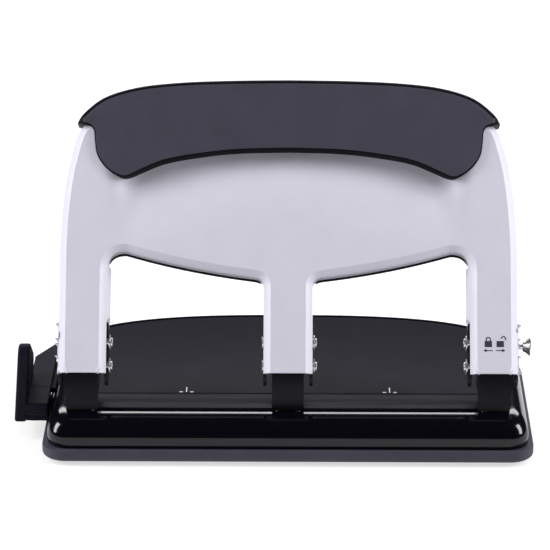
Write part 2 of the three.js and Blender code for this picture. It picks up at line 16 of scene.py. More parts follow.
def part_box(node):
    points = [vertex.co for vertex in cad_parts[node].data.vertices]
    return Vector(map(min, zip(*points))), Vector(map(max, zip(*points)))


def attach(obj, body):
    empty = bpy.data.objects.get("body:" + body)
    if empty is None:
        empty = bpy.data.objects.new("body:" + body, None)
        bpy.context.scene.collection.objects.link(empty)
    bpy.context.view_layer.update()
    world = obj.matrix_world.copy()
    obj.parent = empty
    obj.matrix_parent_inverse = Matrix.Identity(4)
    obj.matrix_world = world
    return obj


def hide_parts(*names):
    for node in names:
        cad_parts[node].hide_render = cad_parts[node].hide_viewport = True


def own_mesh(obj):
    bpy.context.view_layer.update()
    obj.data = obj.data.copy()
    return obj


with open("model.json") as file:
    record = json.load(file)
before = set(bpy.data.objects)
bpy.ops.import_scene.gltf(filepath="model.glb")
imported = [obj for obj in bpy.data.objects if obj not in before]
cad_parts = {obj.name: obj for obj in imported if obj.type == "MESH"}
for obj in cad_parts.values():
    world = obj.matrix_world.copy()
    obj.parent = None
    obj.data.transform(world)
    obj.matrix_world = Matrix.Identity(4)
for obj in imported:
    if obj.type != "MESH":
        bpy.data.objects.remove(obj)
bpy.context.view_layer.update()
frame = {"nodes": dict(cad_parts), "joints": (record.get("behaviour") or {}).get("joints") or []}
MM = 0.001

# Driving dimensions, shared with the CAD
HOLE_SPACING = 107.95
LEVER_SHIFT = 1.0
LEVER_X = {"left": LEVER_SHIFT - HOLE_SPACING, "middle": 0.0, "right": HOLE_SPACING - LEVER_SHIFT}
BASE_HALF_WIDTH, BASE_DEPTH, BASE_CORNER = 128.7, 152.0, 11.0
REAR_START, REAR_POWER = 100.0, 2.6
FOOT_HEIGHT, PAN_TOP = 1.6, 8.6
PAN_ROUND = 3.0
HOUSING_BOTTOM, SHOULDER_START, HOUSING_TOP = 9.1, 14.0, 24.0
ROOF_BOTTOM, ROOF_TOP, WALL = 18.6, 20.6, 2.2
FLUSH = (0.0, 0.0, 0.0)
HOUSING_INSET = (2.6, 2.6, 3.0)
TOP_INSET = (16.4, 11.0, 5.0)
RECESS_INSET = (20.6, 13.2, 7.2)
DECK_FRONT, DECK_TOP, STRIP_TOP = 39.4, 24.1, 23.9
LEAN = math.radians(31.5)
PIVOT_ALONG, DRIVE_ALONG, PIN_DEPTH = 4.5, 16.9, 8.0
LEG_DEPTH, SHELL_DEPTH, LEVER_TOP = 5.2, 12.0, 27.4
EDGE_X = 120.05
GRIP_FRONT, GRIP_BACK = -1.6, 15.4
SPRING_SEAT, SPRING_END, PUNCH_STROKE = 38.3, 50.9, 8.7

# Where the base and the handle stand in the frame
joint = {j["name"]: j for j in frame["joints"]}
bracket_low, bracket_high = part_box("head_bracket_middle")
CENTRE_X = (bracket_low.x + bracket_high.x) / 2
FRONT_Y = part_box("chip_pan")[0].y
UP = Vector((0, math.sin(LEAN), math.cos(LEAN)))
BACK = Vector((0, math.cos(LEAN), -math.sin(LEAN)))
PIVOT = Vector((CENTRE_X, *joint["handle_press"]["pos_m"][1:]))
LEG_BOTTOM = PIVOT - UP * PIVOT_ALONG * MM - BACK * PIN_DEPTH * MM


def place(x, y, z):
    """A point measured from the middle head, the base's front edge and the floor."""
    return Vector((CENTRE_X + x * MM, FRONT_Y + y * MM, z * MM))


def handle_place(x, up, depth):
    """A point measured across, up the leg from its bottom, and back from the handle's front face."""
    return LEG_BOTTOM + Vector((x * MM, 0, 0)) + UP * up * MM + BACK * depth * MM


# Materials
def node_material(name, colour, roughness, metallic, grain, mottle, smudge, specular=0.5):
    """Principled material. grain is (size in mm, bump strength) or None.

    mottle varies the colour and smudge the roughness, each by a share of its value.
    """
    material = bpy.data.materials.new(name)
    material.use_nodes = True
    nodes, links = material.node_tree.nodes, material.node_tree.links
    shader = nodes["Principled BSDF"]
    shader.inputs["Metallic"].default_value = metallic
    shader.inputs["Base Color"].default_value = (*colour, 1)
    shader.inputs["Roughness"].default_value = roughness
    shader.inputs["Specular IOR Level"].default_value = specular
    coords = nodes.new("ShaderNodeTexCoord")

    def noise(scale, detail):
        texture = nodes.new("ShaderNodeTexNoise")
        texture.inputs["Scale"].default_value = scale
        texture.inputs["Detail"].default_value = detail
        links.new(coords.outputs["Object"], texture.inputs["Vector"])
        return texture.outputs["Fac"]

    if grain:
        size, strength = grain
        bump = nodes.new("ShaderNodeBump")
        bump.inputs["Strength"].default_value = strength
        bump.inputs["Distance"].default_value = size * MM * 0.3
        links.new(noise(1 / (size * MM), 2.0), bump.inputs["Height"])
        links.new(bump.outputs["Normal"], shader.inputs["Normal"])
    if mottle:
        ramp = nodes.new("ShaderNodeValToRGB")
        ramp.color_ramp.elements[0].color = (*[c * (1 - mottle) for c in colour], 1)
        ramp.color_ramp.elements[1].color = (*[min(1, c * (1 + mottle)) for c in colour], 1)
        ramp.color_ramp.elements[0].position = 0.3
        ramp.color_ramp.elements[1].position = 0.7
        links.new(noise(70.0, 4.0), ramp.inputs["Fac"])
        links.new(ramp.outputs["Color"], shader.inputs["Base Color"])
    if smudge:
        spread = nodes.new("ShaderNodeMapRange")
        spread.inputs["To Min"].default_value = roughness * (1 - smudge)
        spread.inputs["To Max"].default_value = roughness * (1 + smudge)
        links.new(noise(28.0, 5.0), spread.inputs["Value"])
        links.new(spread.outputs["Result"], shader.inputs["Roughness"])
    return material


SILVER = node_material("silver_lacquer", (0.57, 0.555, 0.635), 0.38, 0.0, (0.35, 0.04), 0.02, 0.12)
GRIP = node_material("slate_soft_touch", (0.040, 0.0375, 0.057), 0.55, 0, (0.5, 0.22), 0.08, 0.12, 0.4)
# Dark grip edge colour: a darker band over the top edge, and along the lower edge a painted shadow line.
GRIP_DARK_AND_SHADOW = node_material("grip_edge_dark_and_painted_shadow", (0.003, 0.0026, 0.0045), 0.5, 0, (0.5, 0.2), 0.08, 0.1, 0.05)
GLOSS = node_material("polished_black", (0.0018, 0.0015, 0.0035), 0.12, 0, None, 0.1, 0.2, 0.36)
PAN = node_material("fine_matte_grey", (0.046, 0.043, 0.061), 0.6, 0, (0.3, 0.25), 0.07, 0.12, 0.25)
DECK = node_material("satin_deck", (0.0095, 0.0085, 0.0150), 0.5, 0, (0.6, 0.18), 0.08, 0.12, 0.05)
STRIP = node_material("strip_black_steel", (0.011, 0.010, 0.016), 0.45, 0, (0.5, 0.12), 0.08, 0.15, 0.06)
# Satin black of the head brackets, also used on the handle's window hem as a painted shadow line.
HEAD_BLACK_AND_HEM_SHADE = node_material("head_satin_black_and_hem_shade", (0.004, 0.0036, 0.006), 0.35, 0, (0.4, 0.12), 0.08, 0.15, 0.14)
LEVER = node_material("lever_black_steel", (0.009, 0.008, 0.012), 0.4, 0, (0.6, 0.15), 0.1, 0.2, 0.2)
CHROME = node_material("bright_chrome", (0.84, 0.83, 0.86), 0.3, 0.92, (0.8, 0.05), 0.03, 0.3)
SCREW = node_material("zinc_plate", (0.64, 0.64, 0.66), 0.34, 0.95, (0.4, 0.1), 0.06, 0.2)
TOOL_STEEL = node_material("ground_steel", (0.50, 0.50, 0.52), 0.28, 1.0, (0.3, 0.12), 0.05, 0.25)
RUBBER = node_material("foot_rubber", (0.012, 0.012, 0.013), 0.85, 0, (0.5, 0.4), 0.1, 0.08)
MARK = node_material("pad_print_dark", (0.03, 0.028, 0.04), 0.5, 0, (0.3, 0.1), 0.05, 0.1)
TICK = node_material("pad_print_white", (0.75, 0.74, 0.78), 0.5, 0, (0.3, 0.1), 0.03, 0.1)


# Mesh tools
def finish_mesh(name, mesh_bmesh, material, sharp=38.0, materials=()):
    """An object from a bmesh: outward normals, smooth shading, and crisp edges above an angle."""
    bmesh.ops.recalc_face_normals(mesh_bmesh, faces=mesh_bmesh.faces)
    limit = math.radians(sharp)
    for face in mesh_bmesh.faces:
        face.smooth = True
    for edge in mesh_bmesh.edges:
        if len(edge.link_faces) == 2 and edge.calc_face_angle(0) > limit:
            edge.smooth = False
    mesh = bpy.data.meshes.new(name)
    mesh_bmesh.to_mesh(mesh)
    mesh_bmesh.free()
    obj = bpy.data.objects.new(name, mesh)
    bpy.context.scene.collection.objects.link(obj)
    for used in (material, *materials):
        mesh.materials.append(used)
    return obj


def crease(obj, sharp=40.0):
    """Smooth shading again after a modifier, with the sharp edges kept."""
    mesh = bmesh.new()
    mesh.from_mesh(obj.data)
    for face in mesh.faces:
        face.smooth = True
    for edge in mesh.edges:
        edge.smooth = not (len(edge.link_faces) == 2 and edge.calc_face_angle(0) > math.radians(sharp))
    mesh.to_mesh(obj.data)
    mesh.free()
    return obj


def stands_for(obj, body, slot, *nodes):
    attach(obj, body)
    if nodes:
        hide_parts(*nodes)
    return obj


def apply_modifiers(obj):
    depsgraph = bpy.context.evaluated_depsgraph_get()
    mesh = bpy.data.meshes.new_from_object(obj.evaluated_get(depsgraph))
    obj.modifiers.clear()
    obj.data = mesh
    return obj


def bevelled(obj, width, segments=3, angle=30.0):
    modifier = obj.modifiers.new("edges", "BEVEL")
    modifier.width = width * MM
    modifier.segments = segments
    modifier.limit_method = "ANGLE"
    modifier.angle_limit = math.radians(angle)
    return apply_modifiers(obj)


def rings_mesh(rings):
    """A bmesh through equal rings of points, capped at both ends."""
    mesh = bmesh.new()
    levels = [[mesh.verts.new(p) for p in ring] for ring in rings]
    count = len(rings[0])
    for low, high in zip(levels, levels[1:]):
        for i in range(count):
            j = (i + 1) % count
            mesh.faces.new((low[i], low[j], high[j], high[i]))
    mesh.faces.new(levels[0][::-1])
    mesh.faces.new(levels[-1])
    return mesh


def prism(outline, start, end, to_world):
    """A straight solid: outline points (a, b) between two offsets c, with to_world(a, b, c)."""
    return rings_mesh([[to_world(a, b, c) for a, b in outline] for c in (start, end)])


def turned(profile, axis_place, segments=40):
    """A turned solid. profile is (radius, along); axis_place(u, v, along) gives the world point."""
    mesh = bmesh.new()
    rows = []
    angles = [2 * math.pi * i / segments for i in range(segments)]
    for radius, along in profile:
        if radius <= 1e-6:
            rows.append([mesh.verts.new(axis_place(0, 0, along))])
            continue
        ring = [axis_place(radius * math.cos(a), radius * math.sin(a), along) for a in angles]
        rows.append([mesh.verts.new(p) for p in ring])
    for low, high in zip(rows, rows[1:]):
        for i in range(segments):
            j = (i + 1) % segments
            corners = [low[i % len(low)], low[j % len(low)], high[j % len(high)], high[i % len(high)]]
            unique = list(dict.fromkeys(corners))
            if len(unique) > 2:
                mesh.faces.new(unique)
    return mesh


def arc(cx, cy, radius, start, end, steps):
    """Points on an arc, angles in degrees."""
    angles = [math.radians(start + (end - start) * i / steps) for i in range(steps + 1)]
    return [(cx + radius * math.cos(a), cy + radius * math.sin(a)) for a in angles]


def bezier(a, b, c, steps):
    """Points on a quadratic curve after its first point."""
    result = []
    for i in range(1, steps + 1):
        t = i / steps
        weights = ((1 - t) ** 2, 2 * t * (1 - t), t * t)
        result.append(tuple(weights[0] * p + weights[1] * q + weights[2] * r for p, q, r in zip(a, b, c)))
    return result


def spline(points, steps):
    """Catmull-Rom curve through the points."""
    padded = [points[0], *points, points[-1]]
    result = []
    for k in range(1, len(padded) - 2):
        p0, p1, p2, p3 = (np.array(padded[k + i], float) for i in (-1, 0, 1, 2))
        for i in range(steps):
            t = i / steps
            q = 0.5 * (2 * p1 + (p2 - p0) * t + (2 * p0 - 5 * p1 + 4 * p2 - p3) * t * t
                       + (3 * p1 - p0 - 3 * p2 + p3) * t ** 3)
            result.append(tuple(q))
    return [*result, tuple(points[-1])]


def resample(points, step):
    """Points spaced evenly along an open line."""
    line = np.array(points, float)
    lengths = np.r_[0, np.cumsum(np.linalg.norm(np.diff(line, axis=0), axis=1))]
    count = max(2, int(round(lengths[-1] / step)) + 1)
    at = np.linspace(0, lengths[-1], count)
    return np.stack([np.interp(at, lengths, line[:, k]) for k in (0, 1)], 1)


def distances(points, line):
    """Distance from each point to an open line of points."""
    a, b = line[:-1], line[1:]
    run = b - a
    squares = np.maximum((run ** 2).sum(1), 1e-12)
    best = np.full(len(points), 1e9)
    for chunk in range(0, len(points), 2000):
        p = points[chunk:chunk + 2000, None, :]
        t = np.clip(((p - a) * run).sum(2) / squares, 0, 1)
        gap = np.linalg.norm(p - (a + t[..., None] * run), axis=2)
        best[chunk:chunk + 2000] = gap.min(1)
    return best


def smooth(t):
    t = np.clip(t, 0, 1)
    return t * t * (3 - 2 * t)


def filled_outline(lines, grid):
    """Fine triangles inside a closed outline made of open lines.

    lines is [(points, rings, crease)], joined end to end and running anticlockwise. Rows of points follow
    each line at its rings' distances, and the row at its crease is joined into an edge. Returns the points
    and the triangles.
    """
    boundary = np.concatenate([line[:-1] for line, _, _ in lines])
    closed = np.vstack([boundary, boundary[:1]])
    count = len(boundary)
    rows, edges = [boundary], [(i, (i + 1) % count) for i in range(count)]
    for line, rings, at_crease in lines:
        run = np.gradient(line, axis=0)
        run /= np.linalg.norm(run, axis=1)[:, None]
        normal = np.stack([-run[:, 1], run[:, 0]], 1)
        for offset in rings:
            row = line + normal * offset
            kept = distances(row, closed) > offset * 0.985 - 0.002
            numbers = np.cumsum(kept) - 1 + count
            if offset == at_crease:
                edges += [(int(numbers[i]), int(numbers[i + 1])) for i in range(len(row) - 1)
                          if kept[i] and kept[i + 1]]
            rows.append(row[kept])
            count += int(kept.sum())
    low, high = closed.min(0), closed.max(0)
    xs = np.arange(low[0] + grid / 2, high[0], grid)
    ys = np.arange(low[1] + grid / 2, high[1], grid)
    cells = np.array([(x + (grid / 2 if j % 2 else 0), y) for j, y in enumerate(ys) for x in xs])
    clear = distances(cells, closed) > grid * 0.5
    for line, rings, _ in lines:
        if rings:
            clear &= distances(cells, line) > rings[-1] + grid * 0.5
    points = np.vstack([*rows, cells[clear]])
    out = delaunay_2d_cdt([Vector(p) for p in points], edges, [], 1, 1e-4)
    return np.array([tuple(v) for v in out[0]]), [tuple(f) for f in out[2]]


# Base
def plan_ring(z, inset, corner=BASE_CORNER, corner_steps=12, rear_steps=56):
    """The base's outline at a height, moved inwards by its front, side and back insets."""
    front, side, back = inset
    half = BASE_HALF_WIDTH - side
    reach = BASE_DEPTH - REAR_START - back
    points = arc(-half + corner, front + corner, corner, 180, 270, corner_steps)
    points += arc(half - corner, front + corner, corner, 270, 360, corner_steps)
    power = 2 / REAR_POWER
    for i in range(rear_steps + 1):
        angle = math.pi * i / rear_steps
        across, along = math.cos(angle), math.sin(angle)
        x = math.copysign(half * abs(across) ** power, across)
        points.append((x, REAR_START + reach * abs(along) ** power))
    return [place(x, y, z) for x, y in points]


def grown(inset, amount):
    return tuple(value + amount for value in inset)


def mixed(a, b, t):
    return tuple(p + (q - p) * t for p, q in zip(a, b))


def chip_pan():
    rings = [plan_ring(FOOT_HEIGHT, grown(FLUSH, 5))]
    for t in np.linspace(0, 1, 7):
        angle = t * math.pi / 2
        up, inwards = PAN_ROUND * (1 - math.cos(angle)), PAN_ROUND * (1 - math.sin(angle))
        rings.append(plan_ring(FOOT_HEIGHT + up, grown(FLUSH, inwards)))
    rings += [plan_ring(PAN_TOP - 0.5, FLUSH), plan_ring(PAN_TOP - 0.15, grown(FLUSH, 0.12)),
              plan_ring(PAN_TOP, grown(FLUSH, 0.5))]
    rings += [plan_ring(PAN_TOP, grown(FLUSH, 3)), plan_ring(FOOT_HEIGHT + 2, grown(FLUSH, 3.2))]
    tray = finish_mesh("chip_pan_tray", rings_mesh(rings), PAN)
    return stands_for(tray, "pan", "grey_plastic", "chip_pan")


def base_housing():
    rings = [plan_ring(ROOF_BOTTOM, grown(TOP_INSET, 1)),
             plan_ring(SHOULDER_START, grown(HOUSING_INSET, WALL)),
             plan_ring(HOUSING_BOTTOM, grown(HOUSING_INSET, WALL)),
             plan_ring(HOUSING_BOTTOM, grown(HOUSING_INSET, 0.5)),
             plan_ring(HOUSING_BOTTOM + 0.15, grown(HOUSING_INSET, 0.12)),
             plan_ring(HOUSING_BOTTOM + 0.5, HOUSING_INSET)]
    shoulder = SHOULDER_START - 1
    for t in np.linspace(0, 1, 22):
        angle = t * math.pi / 2
        height = shoulder + (HOUSING_TOP - shoulder) * math.sin(angle)
        rings.append(plan_ring(height, mixed(HOUSING_INSET, TOP_INSET, 1 - math.cos(angle))))
    rings += [plan_ring(HOUSING_TOP - 0.02, grown(TOP_INSET, 0.35)),
              plan_ring(HOUSING_TOP - 0.3, grown(TOP_INSET, 0.6)),
              plan_ring(HOUSING_TOP - 1.2, grown(TOP_INSET, 0.75)),
              plan_ring(HOUSING_TOP - 1.2, RECESS_INSET, 6),
              plan_ring(ROOF_TOP, RECESS_INSET, 1)]
    housing = finish_mesh("housing_shell", rings_mesh(rings), GLOSS, 50)
    return stands_for(housing, "base", "gloss_plastic", "base_housing")


def paper_deck():
    inset = (DECK_FRONT, RECESS_INSET[1] + 0.4, RECESS_INSET[2] + 0.4)
    levels = [(ROOF_TOP + 0.3, 0), (DECK_TOP - 0.5, 0), (DECK_TOP - 0.15, 0.12), (DECK_TOP, 0.5)]
    rings = [plan_ring(z, grown(inset, amount), 1.6) for z, amount in levels]
    deck = finish_mesh("deck_plate", rings_mesh(rings), DECK)
    return stands_for(deck, "base", "deck_plastic", "paper_deck")


# The handle's outline, from the bottom of the right leg over the top to the bottom of the left
OUTER_HALF = [(EDGE_X, 0), (EDGE_X, 40), (EDGE_X, 66), (119.3, 82), (118.0, 96), (115.6, 111), (110.6, 128.4),
              (104.5, 134.6), (93, 142.4), (78, 147.6), (57, 150.6), (30, 152), (0, 152.6)]
WINDOW_INNER, WINDOW_OUTER, WINDOW_LOW, WINDOW_HIGH = 12.8, 95.1, 50.8, 64.4
GRIP_LOWER = [(0, 118.7), (27, 117.9), (47, 115.7), (65, 112.3), (77.5, 107.2), (85.4, 103.6), (91, 104.9),
              (97, 109.4), (101, 115.8), (102.2, 123), (102.8, 128.6), (105.4, 131.4), (111.6, 132.8)]
GRIP_UPPER = [(111.6, 132.8), (108, 138.4), (97, 146.9), (79.5, 152.3), (57, 154.9), (30, 156), (0, 156.4)]


def mirrored(points):
    return [(-x, y) for x, y in points][::-1]


def window_half():
    """The right window's edge, from its outer bottom corner over the top to its inner bottom corner."""
    outer, inner, low, high = WINDOW_OUTER, WINDOW_INNER, WINDOW_LOW, WINDOW_HIGH
    middle = inner + (outer - inner) / 2
    line = [(outer, 0), (outer, 30), (outer, high - 10)]
    line += bezier((outer, high - 10), (outer, high + 0.4), (outer - 10, high), 10)
    line += bezier((outer - 10, high), (middle, low + 4.5), (inner + 5, low), 24)
    line += bezier((inner + 5, low), (inner, low - 0.6), (inner, low - 4.4), 6)
    return line + [(inner, 20), (inner, 0)]


OUTER_CHAMFER, WINDOW_CHAMFER = (3.7, 3.4), (3.6, 3.2)
LIP_WIDTH, LIP_DEPTH = 0.8, 0.5
DISH_DEPTH, DISH_SIDE, DISH_SIDE_FADE = 8.6, 97, 19
DISH_LENGTH, DISH_LENGTH_GAIN, DISH_GAIN_REACH = 36, 16, 56
SHELL_THICKNESS, HEM_DROP, WALL_FLARE = 2.0, 1.1, 1.5


def chamfer(distance, width, depth):
    """Depth of the flattened edge at a distance in from the outline, with a small round at its outer end."""
    lip = np.clip(1 - distance / LIP_WIDTH, 0, 1)
    return depth * np.clip(1 - distance / width, 0, 1) + LIP_DEPTH * lip * lip


def dish(points):
    """The web's hollow: steepest right under the grip, running out towards the windows and the legs."""
    across, up = np.abs(points[:, 0]), points[:, 1]
    grip = np.interp(across, *np.array(GRIP_LOWER[:9]).T)
    length = DISH_LENGTH + DISH_LENGTH_GAIN * np.clip(across / DISH_GAIN_REACH, 0, 1)
    fall = np.clip(1 - (grip - up) / length, 0, 1)
    side = smooth((DISH_SIDE - across) / DISH_SIDE_FADE)
    under_grip = np.maximum(smooth((grip + 6 - up) / 3), 0.35)
    return DISH_DEPTH * side * fall ** 2 * under_grip


def handle_shell():
    outer = OUTER_HALF[:2] + spline(OUTER_HALF[2:], 8)
    outer_line = resample(outer + mirrored(outer)[1:], 1.3)
    right = window_half()
    feet = [(-EDGE_X, -WINDOW_OUTER), (-WINDOW_INNER, WINDOW_INNER), (WINDOW_OUTER, EDGE_X)]
    cuts = [resample([(a, 0), (b, 0)], 1.2) for a, b in feet]
    left_window = resample(mirrored(right)[::-1], 1.2)
    right_window = resample(right[::-1], 1.2)

    def edged(line, width):
        return line, [LIP_WIDTH, width - 1.2, width, width + 1.1, width + 2.7], width

    # The outline runs anticlockwise, so each line's inner side is on its left.
    lines = [edged(outer_line, OUTER_CHAMFER[0]), (cuts[0], [], 0), edged(left_window, WINDOW_CHAMFER[0]),
             (cuts[1], [], 0), edged(right_window, WINDOW_CHAMFER[0]), (cuts[2], [], 0)]
    points, triangles = filled_outline(lines, 3.0)
    window_gap = np.minimum(distances(points, left_window), distances(points, right_window))
    depth = dish(points) + np.maximum(chamfer(distances(points, outer_line), *OUTER_CHAMFER),
                                      chamfer(window_gap, *WINDOW_CHAMFER))
    mesh = bmesh.new()
    verts = [mesh.verts.new(handle_place(x, up, d)) for (x, up), d in zip(points, depth)]
    for a, b, c in triangles:
        mesh.faces.new((verts[a], verts[b], verts[c]))
    mesh.verts.index_update()
    rim = [e for e in mesh.edges if len(e.link_faces) == 1]
    walls = [e for e in rim if max(points[v.index][1] for v in e.verts) > 0.01]
    # Each wall runs back in three rows, and the last two turn down into a hem along the windows' tops,
    # coloured black as a painted shadow line.
    for short_by, hem in ((1.4, 0.0), (1.0, 1.0), (0.0, 1.0)):
        made = bmesh.ops.extrude_edge_only(mesh, edges=walls)["geom"]
        walls = [g for g in made if isinstance(g, bmesh.types.BMEdge)]
        lowered = set()
        for vert in (g for g in made if isinstance(g, bmesh.types.BMVert)):
            offset = vert.co - LEG_BOTTOM
            up, across = offset.dot(UP) / MM, abs(offset.x) / MM
            share = float(smooth((up - LEVER_TOP) / 3))
            target = LEG_DEPTH + (SHELL_DEPTH - LEG_DEPTH) * share - short_by
            vert.co += BACK * (target * MM - offset.dot(BACK))
            if abs(across - WINDOW_OUTER) < 0.2 and short_by > 1.2:
                vert.co.x -= math.copysign(WALL_FLARE * share * MM, offset.x)
            if WINDOW_INNER + 1 < across < WINDOW_OUTER - 1 and up < WINDOW_HIGH + 2 and hem:
                lowered.add(vert)
                vert.co -= UP * HEM_DROP * MM * (short_by > 0.5)
        # Hem faces take the second material: black standing in for the shadow under the windows' top flanges.
        for face in (g for g in made if isinstance(g, bmesh.types.BMFace)):
            face.material_index = int(len(lowered.intersection(face.verts)) == 2)
    shell = finish_open(mesh)
    thick = shell.modifiers.new("wall", "SOLIDIFY")
    thick.thickness = SHELL_THICKNESS * MM
    thick.offset = -1
    thick.use_even_offset = False
    crease(apply_modifiers(shell), 30)
    return stands_for(shell, "handle", "silver_paint", "handle_shell")


def finish_open(mesh):
    """The shell's skin before it is given its thickness: its faces already point forward and outward."""
    limit = math.radians(35)
    for face in mesh.faces:
        face.smooth = True
    for edge in mesh.edges:
        if len(edge.link_faces) == 2 and edge.calc_face_angle(0) > limit:
            edge.smooth = False
    data = bpy.data.meshes.new("handle_casting")
    mesh.to_mesh(data)
    mesh.free()
    # The second material paints the windows' top hem black as a painted shadow line.
    for used in (SILVER, HEAD_BLACK_AND_HEM_SHADE):
        data.materials.append(used)
    obj = bpy.data.objects.new("handle_casting", data)
    bpy.context.scene.collection.objects.link(obj)
    return obj


def pillow(name, lines, grid, depth_front, depth_back, material, materials, which):
    """A closed piece of the handle with a shaped front and back over one outline.

    which(points) gives the number of the material at each (across, up) point.
    """
    points, triangles = filled_outline(lines, grid)
    mesh = bmesh.new()
    near = [mesh.verts.new(handle_place(x, up, d)) for (x, up), d in zip(points, depth_front(points))]
    far = [mesh.verts.new(handle_place(x, up, d)) for (x, up), d in zip(points, depth_back(points))]
    material_numbers = which(np.array([points[list(triangle)].mean(0) for triangle in triangles]))
    for a, b, c in triangles:
        mesh.faces.new((near[a], near[b], near[c]))
    mesh.verts.index_update()
    pairs = [tuple(v.index for v in e.verts) for e in mesh.edges if len(e.link_faces) == 1]
    for a, b, c in triangles:
        mesh.faces.new((far[c], far[b], far[a]))
    for a, b in pairs:
        mesh.faces.new((near[a], near[b], far[b], far[a]))
    # The walls round the outline take the second material. On the grip that is the dark edge colour, which is
    # painted shadow on the underside.
    for number, face in enumerate(mesh.faces):
        face.material_index = int(material_numbers[number % len(triangles)]) if number < 2 * len(triangles) else 1
    return finish_mesh(name, mesh, material, 40, materials)


def rounding(distance, radius):
    t = np.clip(1 - distance / radius, 0, 1)
    return radius * (1 - np.sqrt(1 - t * t))


TOP_ROUND, LOW_ROUND = 3.2, 1.0
TOP_BAND, LOW_SHADOW_BAND = 2.3, 0.7


def handle_grip():
    upper = spline(GRIP_UPPER, 8)
    lower = spline(GRIP_LOWER, 8)
    upper_line = resample(upper + mirrored(upper)[1:], 1.6)
    lower_line = resample(mirrored(lower) + lower[1:], 1.4)
    lines = [(lower_line, [0.15, 0.4, LOW_SHADOW_BAND, 1.0, 2.2, 3.6], LOW_SHADOW_BAND),
             (upper_line, [0.15, 0.5, 1.0, 1.7, TOP_BAND, 3.2, 4.6], TOP_BAND)]

    def edge_depth(points):
        return np.maximum(rounding(distances(points, upper_line), TOP_ROUND),
                          rounding(distances(points, lower_line), LOW_ROUND))

    def crown(points):
        return -0.5 * smooth(distances(points, np.vstack([lower_line, upper_line])) / 16)

    # Material 1 marks the darker top band, and a narrow band along the lower edge painted dark as the shadow
    # under the grip.
    def which(points):
        return (distances(points, upper_line) < TOP_BAND) | (distances(points, lower_line) < LOW_SHADOW_BAND)

    grip = pillow("grip_cap", lines, 3.2, lambda p: GRIP_FRONT + edge_depth(p) + crown(p),
                  lambda p: GRIP_BACK - edge_depth(p), GRIP, (GRIP_DARK_AND_SHADOW,), which)
    return stands_for(grip, "handle", "grip_plastic", "handle_grip")


# Small CAD pieces with softened edges
def refined(node, body, slot, material, width, segments=2):
    source = frame["nodes"][node]
    mesh = bmesh.new()
    mesh.from_mesh(source.data)
    bmesh.ops.remove_doubles(mesh, verts=mesh.verts, dist=1e-6)
    bmesh.ops.dissolve_limit(mesh, angle_limit=math.radians(1.5), verts=mesh.verts, edges=mesh.edges)
    piece = finish_mesh(node + "_fine", mesh, material)
    crease(bevelled(piece, width, segments, 32))
    return stands_for(piece, body, slot, node)


def cross_pin(name, use, station, side):
    """A headed pin through a leg's levers, with a groove for its clip. side is the way its tail points."""
    up = PIVOT_ALONG if use == "pivot" else DRIVE_ALONG
    centre = LEVER_X[station]
    profile = [(0, -13.7), (2.6, -13.7), (3.3, -13.45), (3.3, -13.2), (2.5, -13.2), (2.5, 13.2), (1.9, 13.2),
               (1.9, 14.2), (2.3, 14.2), (2.5, 14.35), (2.45, 14.8), (2.1, 15.1), (0, 15.1)]
    mesh = turned(profile, lambda u, v, a: handle_place(centre + side * a, up + u, PIN_DEPTH + v), 32)
    return stands_for(finish_mesh(name, mesh, CHROME), "handle", "chrome", f"{use}_pin_{station}")


def lock_knob():
    low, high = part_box("lock_pin")
    y, z = (low.y + high.y) / 2, (low.z + high.z) / 2
    start = low.x
    profile = [(0, 0), (1.1, 0), (1.5, 0.5), (1.5, 6.2), (2.4, 6.3), (2.8, 6.7), (2.9, 7.2), (3.5, 8.2),
               (4.6, 9.4), (4.95, 9.75), (4.95, 10.1), (4.7, 10.35), (4.2, 10.4), (3.4, 10.1), (0, 10.0)]
    mesh = turned(profile, lambda u, v, a: Vector((start + a * MM, y + u * MM, z + v * MM)), 48)
    return stands_for(finish_mesh("lock_knob", mesh, CHROME), "lock", "chrome", "lock_pin")


def return_spring(station):
    low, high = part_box(f"punch_pin_{station}")
    axis = Vector(((low.x + high.x) / 2, (low.y + high.y) / 2, 0))
    turns, radius, wire, steps, sides = 4.5, 4.6, 0.45, 150, 10
    bottom, top = SPRING_SEAT + wire, SPRING_END - wire
    rings = []
    for i in range(steps + 1):
        t = i / steps
        angle = 2 * math.pi * turns * t
        out = Vector((math.cos(angle), math.sin(angle), 0))
        centre = axis + out * radius * MM + Vector((0, 0, (bottom + (top - bottom) * t) * MM))
        rings.append([centre + (out * math.cos(a) + Vector((0, 0, 1)) * math.sin(a)) * wire * MM
                      for a in (2 * math.pi * k / sides for k in range(sides))])
    spring = finish_mesh(f"spring_coil_{station}", rings_mesh(rings), SCREW)
    stands_for(spring, "base", "spring_steel", f"return_spring_{station}")
    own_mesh(spring)
    return spring


# Paper guide
def box_outline(x0, x1, y0, y1):
    return [(x0, y0), (x1, y0), (x1, y1), (x0, y1)]


FIN_FOOT, FIN_LEAN = 9, 0.075
GUIDE_INNER, SHELF_TOP = -127.4, 20


